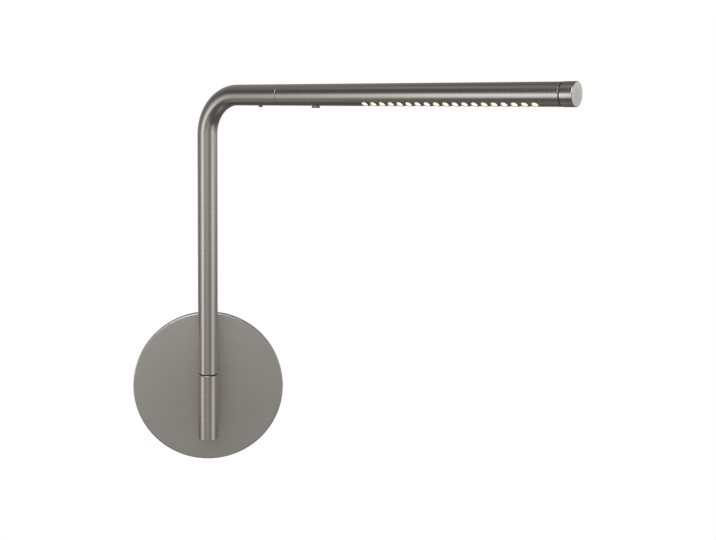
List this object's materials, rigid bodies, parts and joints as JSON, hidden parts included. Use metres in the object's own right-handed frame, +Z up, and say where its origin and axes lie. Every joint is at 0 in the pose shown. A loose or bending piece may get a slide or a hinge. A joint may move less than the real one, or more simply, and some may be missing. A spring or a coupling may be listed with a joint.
{
  "type": "swing arm wall light",
  "caption": "Wall reading light: a tube bent through a right angle swings on a round wall plate and ends in a straight tubular head that turns, with light holes below and a push button.",
  "frame": {"origin": "centre of the round wall plate on the wall surface, midway between the two box screw slots", "axes": "+Z up along the pivot, +X to the right seen from the room, +Y into the wall; the room is on the -Y side"},
  "size_m": [0.2997, 0.2357, 0.3117],
  "materials": {
    "satin_nickel": "satin brushed nickel plating, fine brush lines round the tubes and plate",
    "zinc_steel": "bright zinc plating on pressed steel",
    "bright_steel": "turned bright steel",
    "black_steel": "black oxide on small screws",
    "green_zinc": "green ground screw",
    "plain_aluminium": "plain aluminium",
    "black_nylon": "matt black nylon",
    "black_rubber": "black rubber",
    "white_board": "white solder mask",
    "green_board": "green solder mask",
    "dark_parts": "moulded electronic parts",
    "led_phosphor": "warm-white phosphor",
    "opal_plastic": "opal light-scattering plastic, lit warm white"
  },
  "bodies": {
    "wall_unit": {"mounting_bracket": "zinc_steel", "ground_screw": "green_zinc", "backplate": "satin_nickel", "backplate_grub_screws": "black_steel", "standoff_post": "satin_nickel", "post_washer": "zinc_steel", "post_nut": "zinc_steel", "pivot_sleeve": "satin_nickel", "upper_bush": "black_nylon", "lower_bush": "black_nylon", "stop_pin": "bright_steel", "sleeve_end_plug": "satin_nickel"},
    "arm": {"pivot_spindle": "bright_steel", "thrust_washer": "bright_steel", "disc_springs": "bright_steel", "spindle_nut": "zinc_steel", "arm_tube": "satin_nickel", "lock_screw": "black_steel"},
    "head": {"head_spigot": "plain_aluminium", "friction_ring": "black_rubber", "head_tube": "satin_nickel", "led_carrier": "plain_aluminium", "led_board": "white_board", "led_chips": "led_phosphor", "diffuser": "opal_plastic", "end_cap": "satin_nickel", "button_guide": "black_nylon", "button_spring": "bright_steel", "tact_switch": "black_nylon", "driver_board": "green_board", "driver_components": "dark_parts"},
    "button": {"push_button": "satin_nickel"}
  },
  "joints": [
    {"name": "arm_swivel", "type": "hinge", "parent": "wall_unit", "child": "arm", "pos_m": [0, -0.028, 0], "axis": [0, 0, 1], "range_deg": [-139, 41]},
    {"name": "head_turn", "type": "hinge", "parent": "arm", "child": "head", "pos_m": [0, -0.028, 0.241], "axis": [0.7547, -0.6561, 0], "range_deg": [-160, 160]},
    {"name": "button_press", "type": "slide", "parent": "head", "child": "button", "axis": [0, 0, 1], "range_m": [0, 0.001], "stiffness_N_per_m": 1200, "springref_m": -0.0005, "deforming": ["button_spring"]}
  ]
}
